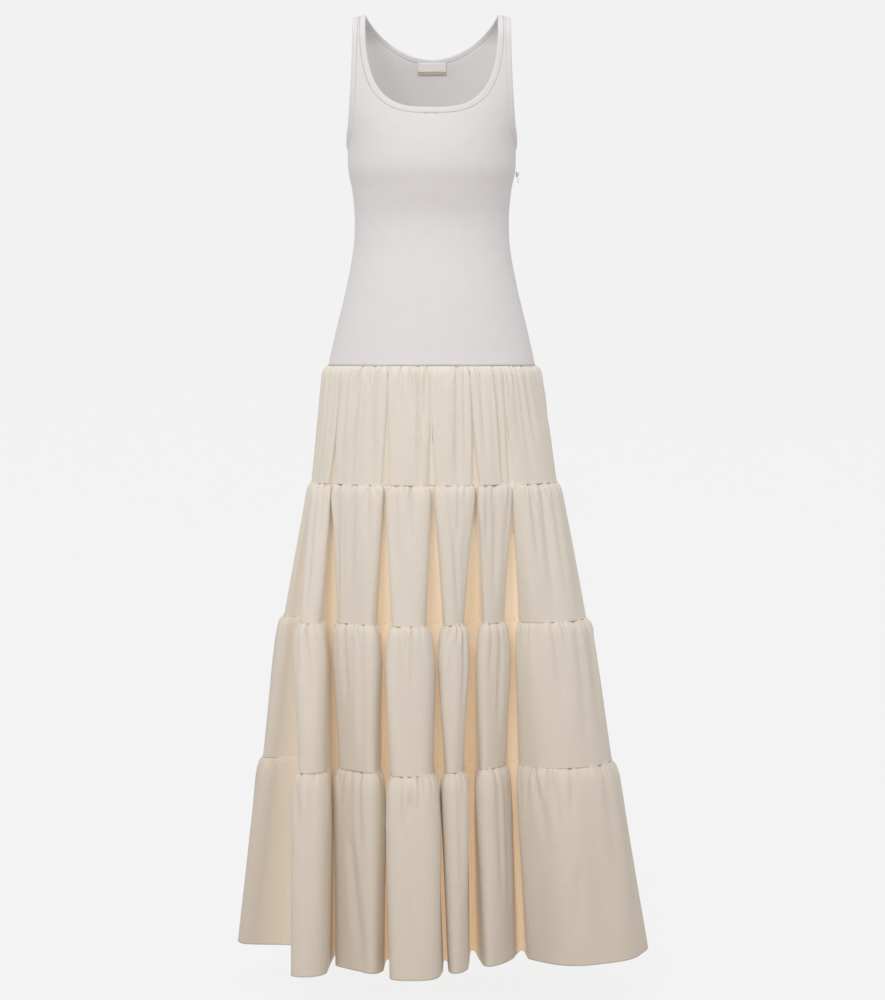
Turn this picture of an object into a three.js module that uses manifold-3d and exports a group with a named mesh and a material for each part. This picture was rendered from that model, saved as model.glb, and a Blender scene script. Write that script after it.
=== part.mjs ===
// A sleeveless maxi dress, filled out as if it were worn.
// A fine-knit tank bodice runs down to a dropped waist. Four gathered tiers of plain woven cloth hang
// from it, and fall in deep upright folds. A concealed zip closes the wearer's left side.
// Millimetres, +Z up, the front faces -Y and the wearer's left is +X.
// The origin lies between the two shoulder seams, where the shoulders carry the dress.

import * as THREE from 'three';
import { mergeVertices } from 'three/addons/utils/BufferGeometryUtils.js';
import Module from 'manifold-3d';

// Cloth and seams
const KNIT = 1.5;
const WOVEN = 1.6;
const BINDING = 2.2;
const SEAM_GAP = 0.3;

// Bodice: heights and widths
const WAIST_SEAM = -522;
const UNDERARM = -191;
const NECK_HALF_WIDTH = 98;
// The neckline's drop, and how square its curve is sideways and downwards (2 and 2 is an ellipse)
const NECK_FRONT = { drop: 144, sideways: 3, down: 3 };
const NECK_BACK = { drop: 58, sideways: 2, down: 1.12 };
const NECK_BINDING = 9;
const ARM_BINDING = 8;
const STRAP_OUTER = 117;
const SHOULDER_ROUND = 40;
const SHOULDER_SLOPE = 0.19;
const BODICE_COLUMNS = 8;

// One row for each section of the bodice: its height, half width, and depth to front and back.
// Above the underarm the width is that of the chest, which the cloth covers only in part.
const SECTIONS = [
  { z: WAIST_SEAM, half: 155, front: 113, back: 118 },
  { z: -471, half: 143.5, front: 107, back: 113 },
  { z: -411, half: 129, front: 98, back: 102 },
  { z: -351, half: 117.5, front: 88, back: 88 },
  { z: -306, half: 115, front: 86, back: 81 },
  { z: -261, half: 118.5, front: 97, back: 82 },
  { z: -231, half: 124.5, front: 104, back: 86 },
  { z: UNDERARM, half: 126.5, front: 101, back: 88 },
  { z: -150, half: 138, front: 91, back: 86 },
  { z: -100, half: 157, front: 76, back: 77 },
  { z: -50, half: 180, front: 62, back: 63 },
  { z: 0, half: 208, front: 50, back: 50 },
];

// Skirt: one row for each level, from the waist seam to the hem. fold is the share of the hem's fold
// depth there, and high is how far the folds lie at their upper places.
const LEVELS = [
  { z: WAIST_SEAM, half: 156, front: 114, back: 119, shift: 0, fold: 0, high: 1 },
  { z: -696, half: 184, front: 130, back: 134, shift: 4, fold: 0.08, high: 1 },
  { z: -899, half: 225, front: 152, back: 154, shift: 5, fold: 0.45, high: 0.55 },
  { z: -1111, half: 259, front: 182, back: 184, shift: 8, fold: 0.75, high: 0.2 },
  { z: -1392, half: 304, front: 236, back: 232, shift: 15, fold: 1, high: 0 },
];

// One row for each large fold, from the wearer's left side across the front and round the back.
// from and to are the ends of its face and valley the hollow after it, each in degrees at the waist
// and at the hem. out is how far the face stands out from the section at the hem, at the places
// across it that FACE_SHARES names. depth is how far the hollow lies in, and gathers are the small
// waves in its cloth.
const FACE_SHARES = [0, 0.1, 0.5, 0.9, 1];
const FOLD_NAMES = ['name', 'from', 'to', 'out', 'valley', 'depth', 'gathers'];
const FOLDS = [
  ['left hip', [4, 5], [49.2, 56], [2, 12, 15, -24, -92], [50.2, 48.5], 146, 4],
  ['front 5', [51.2, 58.5], [68.9, 76], [-118, -108, -85, -67, -78], [70, 74], 176, 3],
  ['front 4', [71.1, 80.6], [89.9, 88.1], [-80, -58, -37, -35, -52], [91, 88.6], 118, 3],
  ['front 3', [92.1, 89.4], [112.2, 104.4], [-46, -4, 9, 9, 0], [113.2, 111.5], 112, 4],
  ['front 2', [114.2, 107.8], [145, 126.5], [-40, -16, -34, -44, -50], [146, 137], 104, 3],
  ['front 1', [147, 122.6], [164, 131.4], [2, 24, 38, 38, 22], [168, 169], 76, 4],
  ['right hip', [172, 174.6], [187, 189], [-14, -1, 6, 5, -4], [193, 196], 78, 3],
  ['back 1', [199, 203], [213, 217], [-2, 10, 20, 14, 0], [217, 221], 95, 4],
  ['back 2', [221, 227], [237, 241], [-22, -10, -3, -10, -24], [241, 245], 105, 3],
  ['back 3', [246, 250], [264, 265], [-6, 6, 14, 10, 0], [268, 269], 92, 3],
  ['back 4', [272, 274], [290, 286], [-32, -18, -9, -14, -24], [294.5, 290], 112, 3],
  ['back 5', [299, 295], [315, 308], [-10, 4, 13, 8, -4], [319, 313], 90, 3],
  ['back 6', [323, 319], [336, 330], [-12, 0, 10, 4, -10], [340, 335], 84, 3],
  ['back 7', [344, 341], [352, 350], [-6, 2, 7, 1, -8], [357, 356.5], 62, 3],
].map((row) => Object.fromEntries(row.map((value, k) => [FOLD_NAMES[k], value])));
const POINTS_PER_FOLD = 9;
// A hollow's flat floor: its least half width, and the share of the mouth that it follows
const FLOOR_HALF_WIDTH = 2;
const FLOOR_SHARE = 0.4;
const COLUMNS_PER_GATHER = 3;
// Heights of a tier's rows, as shares of the way down from its seam
const TIER_ROWS = [0, 0.05, 0.16, 0.4, 1];
// One row for each tier: how far it puffs out under its seam, the height of its gathers, and how much
// wider its hollows open at its top, at MOUTH_TURN of its height and at its bottom.
const MOUTH_TURN = 0.25;
const TIERS = [
  { name: 'tier_1', puff: 7, gather: 3.6, mouths: [0, 2, 8] },
  { name: 'tier_2', puff: 5.5, gather: 4, mouths: [6, 9, 22] },
  { name: 'tier_3', puff: 7, gather: 4.4, mouths: [20, 9, 13] },
  { name: 'tier_4', puff: 8, gather: 4.6, mouths: [12, 6, 3] },
];

// Label, on the inside of the back over the neck binding
const LABEL_WIDTH = 43;
const LABEL_TOP = -63;
const LABEL_HEIGHT = 13.5;
const LABEL_THICK = 0.5;
const LABEL_LIFT = 2.1;
const TAB_HEIGHT = 4;

// Side zip. The slider's bridge is an arch, and the top bar of the pull hangs in its window.
const ZIP_TOP = -205;
const ZIP_BOTTOM = -512;
const ZIP_WIDTH = 24;
const ZIP_THICK = 0.8;
const ZIP_INSET = 1.1;
const SLIDER = { z: -236, wide: 5, narrow: 3.4, high: 8, thick: 2.4 };
const BRIDGE = { wide: 1.1, bar: 0.8, window: 1.9, above: 1.8, below: 1.1 };
const PULL = { top: 3.6, bottom: 4.4, long: 13.5, thick: 1, bar: 0.5, hole: 3.6, holeWide: 2.2 };

const COLOURS = { knit: 0xefebee, woven: 0xf0e6d3, label: 0xf4f2f0, tab: 0xd9cdbf, metal: 0xd8d2cc };

const lerp = (a, b, t) => a + (b - a) * t;
const clamp = (value, low, high) => Math.min(high, Math.max(low, value));
const radians = (degrees) => (degrees * Math.PI) / 180;

// A repeatable number from 0 to 1 for a whole number
function chance(index) {
  const wave = Math.sin(index * 12.9898 + 4.137) * 43758.5453;
  return wave - Math.floor(wave);
}

// A column of a table at a height, on a smooth curve through its rows
function tableAt(rows, column, z) {
  const low = rows[0].z < rows[1].z ? rows : [...rows].reverse();
  let i = 0;
  while (i < low.length - 2 && z > low[i + 1].z) i += 1;
  const slope = (k) => {
    const before = low[Math.max(0, k - 1)];
    const after = low[Math.min(low.length - 1, k + 1)];
    return (after[column] - before[column]) / (after.z - before.z);
  };
  const span = low[i + 1].z - low[i].z;
  const t = clamp((z - low[i].z) / span, 0, 1);
  const t2 = t * t;
  const t3 = t2 * t;
  return (2 * t3 - 3 * t2 + 1) * low[i][column] + (t3 - 2 * t2 + t) * span * slope(i)
    + (3 * t2 - 2 * t3) * low[i + 1][column] + (t3 - t2) * span * slope(i + 1);
}

// The outward direction at each point of a patch of four-sided faces
function patchNormals(points, faces) {
  const normals = points.map(() => new THREE.Vector3());
  for (const face of faces) {
    const across = points[face[2]].clone().sub(points[face[0]]);
    const normal = across.cross(points[face[3]].clone().sub(points[face[1]]));
    for (const corner of face) normals[corner].add(normal);
  }
  return normals.map((normal) => normal.normalize());
}

// A closed wall round a patch of cloth, half its thickness to each side of the patch
function wall(points, faces, thickness, normals = patchNormals(points, faces)) {
  const edges = new Map();
  for (const face of faces) {
    face.forEach((corner, k) => edges.set(`${corner}_${face[(k + 1) % 4]}`, [corner, face[(k + 1) % 4]]));
  }
  const count = points.length;
  const positions = new Float32Array(count * 6);
  points.forEach((point, k) => {
    point.clone().addScaledVector(normals[k], thickness / 2).toArray(positions, k * 3);
    point.clone().addScaledVector(normals[k], -thickness / 2).toArray(positions, (count + k) * 3);
  });
  const index = [];
  const quad = (a, b, c, d) => index.push(a, b, c, a, c, d);
  for (const [a, b, c, d] of faces) {
    quad(a, b, c, d);
    quad(count + d, count + c, count + b, count + a);
  }
  for (const [a, b] of edges.values()) {
    if (!edges.has(`${b}_${a}`)) quad(b, a, count + a, count + b);
  }
  const geometry = new THREE.BufferGeometry();
  geometry.setAttribute('position', new THREE.BufferAttribute(positions, 3));
  geometry.setIndex(volume(positions, index) < 0 ? index.reverse() : index);
  geometry.computeVertexNormals();
  return geometry;
}

function volume(positions, index) {
  const corner = [new THREE.Vector3(), new THREE.Vector3(), new THREE.Vector3()];
  let sum = 0;
  for (let k = 0; k < index.length; k += 3) {
    corner.forEach((point, n) => point.fromArray(positions, index[k + n] * 3));
    sum += corner[0].dot(corner[1].cross(corner[2]));
  }
  return sum / 6;
}

// The faces of a plain grid of points, row by row
function gridFaces(rows, columns, closed) {
  const faces = [];
  for (let r = 0; r < rows - 1; r += 1) {
    for (let c = 0; c < (closed ? columns : columns - 1); c += 1) {
      const next = (c + 1) % columns;
      faces.push([r * columns + c, r * columns + next, (r + 1) * columns + next, (r + 1) * columns + c]);
    }
  }
  return faces;
}

// Bodice surface: the point at a sideways distance and a height. side is -1 in front and 1 behind.
function bodicePoint(side, x, z) {
  const half = tableAt(SECTIONS, 'half', z);
  const share = clamp(x / half, -1, 1);
  const over = z > -SHOULDER_ROUND ? Math.sqrt(1 - (1 + z / SHOULDER_ROUND) ** 2) : 1;
  const depth = tableAt(SECTIONS, side < 0 ? 'front' : 'back', z) * over;
  const slope = clamp(1 + z / SHOULDER_ROUND, 0, 1) * SHOULDER_SLOPE;
  const drop = slope * Math.max(0, Math.abs(x) - NECK_HALF_WIDTH);
  return new THREE.Vector3(x, side * depth * Math.sqrt(1 - share * share), z - drop);
}

const neckOf = (side) => (side < 0 ? NECK_FRONT : NECK_BACK);
const neckSeamZ = (side) => -neckOf(side).drop - NECK_BINDING;

// Neckline: the point at a turn from the middle (0) to the shoulder (1), out from the edge by inset
function neckPoint(side, turn, inset) {
  const { drop, sideways, down } = neckOf(side);
  const x = (NECK_HALF_WIDTH + inset) * Math.sin(radians(90 * turn)) ** (2 / sideways);
  const z = -(drop + inset) * clamp(Math.cos(radians(90 * turn)), 0, 1) ** (2 / down);
  return { x, z };
}

// The turn at which the neckline's seam has a height
function neckTurn(side, z) {
  return Math.acos(clamp(z / neckSeamZ(side), 0, 1) ** (neckOf(side).down / 2)) / radians(90);
}

// Armhole: its sideways distance at a height. The lowest point lies at the side of the body.
function armholeX(z, inset) {
  const lowest = UNDERARM - inset;
  const half = tableAt(SECTIONS, 'half', z);
  const edge = STRAP_OUTER + 9.5 * clamp(z / UNDERARM, 0, 1) ** 2.2 - inset;
  const rise = clamp((z - lowest) / (0.15 * -lowest), 0, 1);
  return lerp(half, Math.min(edge, half), 1 - (1 - rise) ** 2);
}

// Heights of a bodice panel's rows: the body, the armhole, the neckline and over the shoulder
function bodiceLevels(side) {
  const armSeam = UNDERARM - ARM_BINDING;
  const neckSeam = neckSeamZ(side);
  const levels = [];
  for (let k = 0; k < 9; k += 1) levels.push(lerp(WAIST_SEAM + SEAM_GAP, armSeam, k / 9));
  for (const rise of [0, 1.5, 6, 15, 29]) levels.push(armSeam + rise);
  const steps = side < 0 ? 1 : 5;
  for (let k = 1; k <= steps; k += 1) levels.push(lerp(armSeam + 29, neckSeam, k / steps));
  const turns = side < 0 ? [0.16, 0.33, 0.5, 0.64, 0.76, 0.85] : [0.22, 0.4];
  for (const turn of turns) levels.push(neckPoint(side, turn, NECK_BINDING).z);
  return [...levels, -38, -22, -10, -3, 0];
}

// A bodice panel. Below the neckline its two halves share the middle column of points.
function bodicePanel(side) {
  const levels = bodiceLevels(side);
  const neckSeam = neckSeamZ(side);
  const points = [];
  const rows = [-1, 1].map(() => []);
  for (const z of levels) {
    const inner = z > neckSeam ? neckPoint(side, neckTurn(side, z), NECK_BINDING).x : 0;
    const outer = z < UNDERARM - ARM_BINDING ? tableAt(SECTIONS, 'half', z) : armholeX(z, ARM_BINDING);
    [-1, 1].forEach((hand, h) => {
      const row = [];
      for (let c = 0; c <= BODICE_COLUMNS; c += 1) {
        if (h === 1 && c === 0 && inner === 0) {
          row.push(rows[0][rows[0].length - 1][0]);
          continue;
        }
        const half = tableAt(SECTIONS, 'half', z);
        const angle = lerp(Math.asin(clamp(inner / half, 0, 1)), Math.asin(outer / half), c / BODICE_COLUMNS);
        const point = bodicePoint(side, hand * half * Math.sin(angle), z);
        point.y += (side * SEAM_GAP) / 2;
        row.push(points.length);
        points.push(point);
      }
      rows[h].push(row);
    });
  }
  const faces = [];
  for (let r = 0; r < levels.length - 1; r += 1) {
    for (let c = 0; c < BODICE_COLUMNS; c += 1) {
      const [left, right] = rows;
      faces.push([left[r][c + 1], left[r][c], left[r + 1][c], left[r + 1][c + 1]]);
      faces.push([right[r][c], right[r][c + 1], right[r + 1][c + 1], right[r + 1][c]]);
    }
  }
  return wall(points, faces, KNIT);
}

// A binding: a closed band between its seam and its free edge, from a list of [seam, edge] points
function band(pairs) {
  const points = [...pairs.map(([seam]) => seam), ...pairs.map(([, edge]) => edge)];
  return wall(points, gridFaces(2, pairs.length, true), BINDING);
}

function neckBinding() {
  const half = (side) => {
    const levels = bodiceLevels(side).filter((z) => z >= neckSeamZ(side));
    const seam = NECK_BINDING - SEAM_GAP;
    return levels.map((z) => {
      const turn = neckTurn(side, z);
      return [neckPoint(side, turn, seam), neckPoint(side, turn, 0)];
    });
  };
  const place = (side, hand) => (pair) => pair.map(({ x, z }) => bodicePoint(side, hand * x, z));
  const front = half(-1);
  const back = half(1);
  return band([
    ...front.map(place(-1, 1)),
    ...back.slice(0, -1).reverse().map(place(1, 1)),
    ...back.slice(1).map(place(1, -1)),
    ...front.slice(1, -1).reverse().map(place(-1, -1)),
  ]);
}

function armholeBinding(hand) {
  const lowest = UNDERARM - ARM_BINDING;
  const seam = ARM_BINDING - SEAM_GAP;
  const side = (which) => bodiceLevels(which).filter((z) => z >= lowest - 0.01).map((z) => {
    const near = z * ((UNDERARM - seam) / lowest);
    const edge = z * (UNDERARM / lowest);
    return [
      bodicePoint(which, hand * armholeX(near, seam), near),
      bodicePoint(which, hand * armholeX(edge, 0), edge),
    ];
  });
  return band([...side(-1), ...side(1).slice(1, -1).reverse()]);
}

// A point of a level's plan: at an angle, and out from its section by a distance
function planPoint(level, angle, out) {
  const turn = radians(angle);
  const deep = Math.sin(turn) > 0 ? level.front : level.back;
  const normal = new THREE.Vector2(deep * Math.cos(turn), -level.half * Math.sin(turn)).normalize();
  const x = level.shift + level.half * Math.cos(turn);
  return new THREE.Vector2(x, -deep * Math.sin(turn)).addScaledVector(normal, out);
}

const turned = (level, [high, low]) => lerp(low, high, level.high);

// The two ends of the flat floor of the hollow after a fold
function hollowFloor(level, fold, mouth) {
  const angle = turned(level, fold.valley);
  const middle = planPoint(level, angle, -fold.depth * level.fold);
  const along = planPoint(level, angle + 0.5, 0).sub(planPoint(level, angle - 0.5, 0)).normalize();
  const half = mouth * FLOOR_SHARE + FLOOR_HALF_WIDTH;
  return [-half, half].map((side) => middle.clone().addScaledVector(along, side));
}

// The guide points of a level's plan: for each fold a wall, five face points, a wall, and the floor of
// the hollow after it. mouth is how much wider the hollows open.
function planGuides(level, mouth) {
  const wider = (mouth / 2 / level.half) * (180 / Math.PI);
  const guides = [];
  FOLDS.forEach((fold, k) => {
    const [, start] = hollowFloor(level, FOLDS[(k + FOLDS.length - 1) % FOLDS.length], mouth);
    const [end, floor] = hollowFloor(level, fold, mouth);
    const from = turned(level, fold.from) + wider;
    const to = turned(level, fold.to) - wider;
    const face = FACE_SHARES.map((share, n) => (
      planPoint(level, lerp(from, to, share), fold.out[n] * level.fold)
    ));
    guides.push(start.lerp(face[0], 0.5), ...face, face[4].clone().lerp(end, 0.5), end, floor);
  });
  return guides;
}

// A smooth closed curve near its guide points, at a place counted in guides
function smoothAt(guides, place) {
  const i = Math.round(place);
  const r = place - i;
  const point = new THREE.Vector2();
  [0.5 * (0.5 - r) ** 2, 0.75 - r * r, 0.5 * (0.5 + r) ** 2].forEach((weight, k) => {
    point.addScaledVector(guides[(i + k - 1 + guides.length) % guides.length], weight);
  });
  return point;
}

// Where the columns of cloth lie on the guides, and how far from a hollow each one is
const COLUMNS = FOLDS.flatMap((fold, k) => {
  const count = fold.gathers * COLUMNS_PER_GATHER;
  return Array.from({ length: count }, (_, c) => {
    const share = (c + 0.5) / count;
    return { place: (k + share) * POINTS_PER_FOLD - 1.5, open: clamp(Math.sin(Math.PI * share) * 1.8, 0, 1) };
  });
});

function levelRing(level, mouth) {
  const guides = planGuides(level, mouth);
  return COLUMNS.map(({ place }) => smoothAt(guides, place));
}

// Outward directions along a closed ring
function ringNormals(ring) {
  return ring.map((_, k) => {
    const before = ring[(k + ring.length - 1) % ring.length];
    const after = ring[(k + 1) % ring.length];
    return new THREE.Vector2(before.y - after.y, after.x - before.x).normalize();
  });
}

// A gather is a narrow crease and a rounder puff beside it
function gatherWave(tier, column) {
  const size = 0.55 + 0.9 * chance(tier * 97 + Math.floor(column / COLUMNS_PER_GATHER));
  return size * [-1, 0.35, 0.65][column % COLUMNS_PER_GATHER];
}

// A tier's rows of points and outward directions, from its seam down
function tierRows(tier) {
  const { puff, gather, mouths } = TIERS[tier];
  const top = LEVELS[tier];
  const bottom = LEVELS[tier + 1];
  return TIER_ROWS.map((t) => {
    // The hollows stay flat where the folds are deep, and swell like the faces where they are not
    const closed = clamp(3 * lerp(top.fold, bottom.fold, t), 0, 1);
    const [high, middle, low] = mouths;
    const mouth = t < MOUTH_TURN
      ? lerp(high, middle, t / MOUTH_TURN)
      : lerp(middle, low, (t - MOUTH_TURN) / (1 - MOUTH_TURN));
    const bottomRing = levelRing(bottom, mouth);
    const ring = levelRing(top, mouth).map((point, k) => point.lerp(bottomRing[k], t));
    const swell = puff * (1 - Math.exp(-t / 0.02)) * (1 - t);
    const ripple = gather * (t < 0.04 ? 0.6 : Math.exp(-t / 0.3)) * (1 - t);
    const z = lerp(top.z - SEAM_GAP / 2, bottom.z + SEAM_GAP / 2, t);
    ringNormals(ring).forEach((normal, k) => {
      const open = lerp(1, COLUMNS[k].open, closed);
      ring[k].addScaledVector(normal, (swell + ripple * gatherWave(tier, k)) * open);
    });
    return {
      points: ring.map(({ x, y }) => new THREE.Vector3(x, y, z)),
      normals: ringNormals(ring).map(({ x, y }) => new THREE.Vector3(x, y, 0)),
    };
  });
}

// Side seams: the right one lies in the middle of the right hip's fold
const RIGHT_HIP = FOLDS.findIndex(({ name }) => name === 'right hip');
const RIGHT_SEAM = COLUMNS.findIndex(({ place }) => place > (RIGHT_HIP + 0.3) * POINTS_PER_FOLD);

// One panel of a tier, from one side seam to the other
function tierPanel(tier, first, last) {
  const columns = last - first + 1;
  const points = [];
  const normals = [];
  for (const ring of tierRows(tier)) {
    const row = [];
    for (let c = first; c <= last; c += 1) {
      row.push(ring.points[c % COLUMNS.length].clone());
      normals.push(ring.normals[c % COLUMNS.length]);
    }
    nudge(row[0], row[1]);
    nudge(row[columns - 1], row[columns - 2]);
    points.push(...row);
  }
  return wall(points, gridFaces(TIER_ROWS.length, columns, false), WOVEN, normals);
}

// Moves the end of a row in by half a seam gap
function nudge(end, inside) {
  end.addScaledVector(inside.clone().sub(end).normalize(), SEAM_GAP / 2);
}

// A flat strip on the inside of the back
function backStrip(top, height) {
  const points = [];
  const columns = 7;
  for (const z of [top, top - height]) {
    for (let c = 0; c < columns; c += 1) {
      const point = bodicePoint(1, lerp(-0.5, 0.5, c / (columns - 1)) * LABEL_WIDTH, z);
      point.y -= LABEL_LIFT;
      points.push(point);
    }
  }
  return wall(points, gridFaces(2, columns, false), LABEL_THICK);
}

// The zip's tape, on the inside of the side seam
function zipTape() {
  const points = [];
  const rows = 12;
  const columns = 5;
  const inside = KNIT / 2 + ZIP_INSET + ZIP_THICK / 2;
  for (let r = 0; r < rows; r += 1) {
    const z = lerp(ZIP_TOP, ZIP_BOTTOM, r / (rows - 1));
    const half = tableAt(SECTIONS, 'half', z);
    for (let c = 0; c < columns; c += 1) {
      const y = lerp(-0.5, 0.5, c / (columns - 1)) * ZIP_WIDTH;
      const depth = tableAt(SECTIONS, y < 0 ? 'front' : 'back', z);
      points.push(new THREE.Vector3(half * Math.sqrt(1 - (y / depth) ** 2) - inside, y, z));
    }
  }
  return wall(points, gridFaces(rows, columns, false), ZIP_THICK);
}

// An outline in the YZ plane, thickened along +X
function extrudeX(shape, depth) {
  const axes = [new THREE.Vector3(0, 1, 0), new THREE.Vector3(0, 0, 1), new THREE.Vector3(1, 0, 0)];
  const geometry = new THREE.ExtrudeGeometry(shape, { depth, bevelEnabled: false, curveSegments: 4 });
  return geometry.applyMatrix4(new THREE.Matrix4().makeBasis(...axes));
}

const SLIDER_X = tableAt(SECTIONS, 'half', SLIDER.z + SLIDER.high / 2) + KNIT / 2 + SEAM_GAP;
const HINGE_X = SLIDER.thick + BRIDGE.window / 2;

// The slider, from its back face: a shield-shaped body and the arch over the pull's bar
function zipSlider(solid, geometryOf) {
  const { wide, narrow, high, thick } = SLIDER;
  const shield = new THREE.Shape();
  shield.moveTo(-narrow / 2, -high / 2);
  shield.lineTo(narrow / 2, -high / 2);
  shield.lineTo(wide / 2, high / 2 - 1.5);
  shield.quadraticCurveTo(wide / 2, high / 2, 0, high / 2);
  shield.quadraticCurveTo(-wide / 2, high / 2, -wide / 2, high / 2 - 1.5);
  shield.closePath();
  const top = BRIDGE.above + BRIDGE.bar;
  const bottom = -BRIDGE.below - BRIDGE.bar;
  const block = new THREE.BoxGeometry(BRIDGE.window + BRIDGE.bar + 1, BRIDGE.wide, top - bottom);
  block.translate(thick + (BRIDGE.window + BRIDGE.bar - 1) / 2, 0, (top + bottom) / 2);
  const hollow = new THREE.BoxGeometry(BRIDGE.window, BRIDGE.wide + 1, BRIDGE.above + BRIDGE.below);
  hollow.translate(thick + BRIDGE.window / 2, 0, (BRIDGE.above - BRIDGE.below) / 2);
  return geometryOf(solid(extrudeX(shield, thick)).add(solid(block).subtract(solid(hollow))));
}

// The pull, hanging from its hinge: a long drop with a hole that the arch passes through
function zipPull() {
  const { top, bottom, long, thick, bar, hole, holeWide } = PULL;
  const drop = new THREE.Shape();
  const centre = bar - long + bottom / 2;
  drop.moveTo(-top / 2, bar);
  drop.lineTo(-bottom / 2, centre);
  drop.absarc(0, centre, bottom / 2, Math.PI, 2 * Math.PI, false);
  drop.lineTo(top / 2, bar);
  drop.closePath();
  const eye = new THREE.Path();
  eye.moveTo(-holeWide / 2, -bar);
  eye.lineTo(holeWide / 2, -bar);
  eye.lineTo(holeWide / 2, -hole);
  eye.lineTo(-holeWide / 2, -hole);
  eye.closePath();
  drop.holes.push(eye);
  return extrudeX(drop, thick).translate(-thick / 2, 0, 0);
}

export default await dress();

async function dress() {
  const wasm = await Module();
  wasm.setup();
  const solid = (geometry) => {
    geometry.deleteAttribute('normal');
    geometry.deleteAttribute('uv');
    const merged = mergeVertices(geometry, 1e-4);
    const vertProperties = new Float32Array(merged.attributes.position.array);
    const triVerts = new Uint32Array(merged.index.array);
    return new wasm.Manifold(new wasm.Mesh({ numProp: 3, vertProperties, triVerts }));
  };
  const geometryOf = (body) => {
    const { vertProperties, triVerts } = body.getMesh();
    const geometry = new THREE.BufferGeometry();
    geometry.setAttribute('position', new THREE.BufferAttribute(vertProperties, 3));
    geometry.setIndex(new THREE.BufferAttribute(triVerts, 1));
    geometry.computeVertexNormals();
    return geometry;
  };

  const group = new THREE.Group();
  const add = (name, geometry, colour, roughness = 0.9, metalness = 0) => {
    const material = new THREE.MeshStandardMaterial({ color: colour, roughness, metalness });
    const mesh = new THREE.Mesh(geometry, material);
    mesh.name = name;
    group.add(mesh);
    return mesh;
  };
  add('bodice_front', bodicePanel(-1), COLOURS.knit);
  add('bodice_back', bodicePanel(1), COLOURS.knit);
  add('neck_binding', neckBinding(), COLOURS.knit);
  add('armhole_binding_left', armholeBinding(1), COLOURS.knit);
  add('armhole_binding_right', armholeBinding(-1), COLOURS.knit);
  TIERS.forEach(({ name }, tier) => {
    add(`${name}_front`, tierPanel(tier, 0, RIGHT_SEAM), COLOURS.woven);
    add(`${name}_back`, tierPanel(tier, RIGHT_SEAM, COLUMNS.length), COLOURS.woven);
  });
  add('neck_label', backStrip(LABEL_TOP, LABEL_HEIGHT), COLOURS.label);
  add('label_tab', backStrip(LABEL_TOP - LABEL_HEIGHT - SEAM_GAP, TAB_HEIGHT), COLOURS.tab);
  add('zip_tape', zipTape(), COLOURS.knit);
  const slider = add('zip_slider', zipSlider(solid, geometryOf), COLOURS.metal, 0.35, 0.9);
  slider.position.set(SLIDER_X, 0, SLIDER.z);
  const pull = add('zip_pull', zipPull(), COLOURS.metal, 0.35, 0.9);
  pull.position.set(SLIDER_X + HINGE_X, 0, SLIDER.z);
  return group;
}
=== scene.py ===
"""A sleeveless maxi dress, filled out as if it were worn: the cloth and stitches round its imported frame.

Sizes in the tables are millimetres, +Z up. The front faces -Y and the wearer's left is +X.
"""

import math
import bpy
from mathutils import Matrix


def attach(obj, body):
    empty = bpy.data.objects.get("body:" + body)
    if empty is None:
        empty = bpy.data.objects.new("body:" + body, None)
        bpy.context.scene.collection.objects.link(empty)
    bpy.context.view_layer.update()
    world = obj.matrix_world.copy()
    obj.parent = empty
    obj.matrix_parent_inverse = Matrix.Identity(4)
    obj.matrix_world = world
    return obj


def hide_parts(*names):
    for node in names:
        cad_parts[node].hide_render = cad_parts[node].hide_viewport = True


bl_info = {
    "name": "Maxi Dress",
    "version": (1, 0, 0),
    "blender": (4, 5, 0),
    "location": "3D View > Sidebar > Dress",
    "description": "Dresses the packed frame of a maxi dress in knit and gathered woven cloth",
    "category": "Object",
}

import bpy
import numpy as np
from bpy.props import FloatProperty, FloatVectorProperty, IntProperty, PointerProperty
from mathutils import Vector

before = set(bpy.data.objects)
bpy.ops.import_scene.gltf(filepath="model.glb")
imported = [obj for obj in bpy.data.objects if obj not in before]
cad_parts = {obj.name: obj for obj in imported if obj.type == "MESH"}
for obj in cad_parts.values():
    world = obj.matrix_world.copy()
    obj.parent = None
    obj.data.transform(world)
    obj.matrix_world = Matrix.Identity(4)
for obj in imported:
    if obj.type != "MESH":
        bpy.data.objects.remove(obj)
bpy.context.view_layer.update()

MM = 0.001


def linear(code):
    """The linear colour of an sRGB hex value."""
    parts = [int(code[k:k + 2], 16) / 255 for k in (0, 2, 4)]
    return tuple(p / 12.92 if p <= 0.04045 else ((p + 0.055) / 1.055) ** 2.4 for p in parts)


# Sizes and colours that a user would change


def colour_setting(name, description, code):
    """A colour, with an sRGB hex value as its default."""
    return FloatVectorProperty(
        name=name, description=description, subtype="COLOR", size=3, min=0, max=1, default=linear(code))


def length_setting(name, description, least, most, default):
    """A length in metres."""
    return FloatProperty(
        name=name, description=description, subtype="DISTANCE", unit="LENGTH",
        min=least, max=most, default=default)


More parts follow.
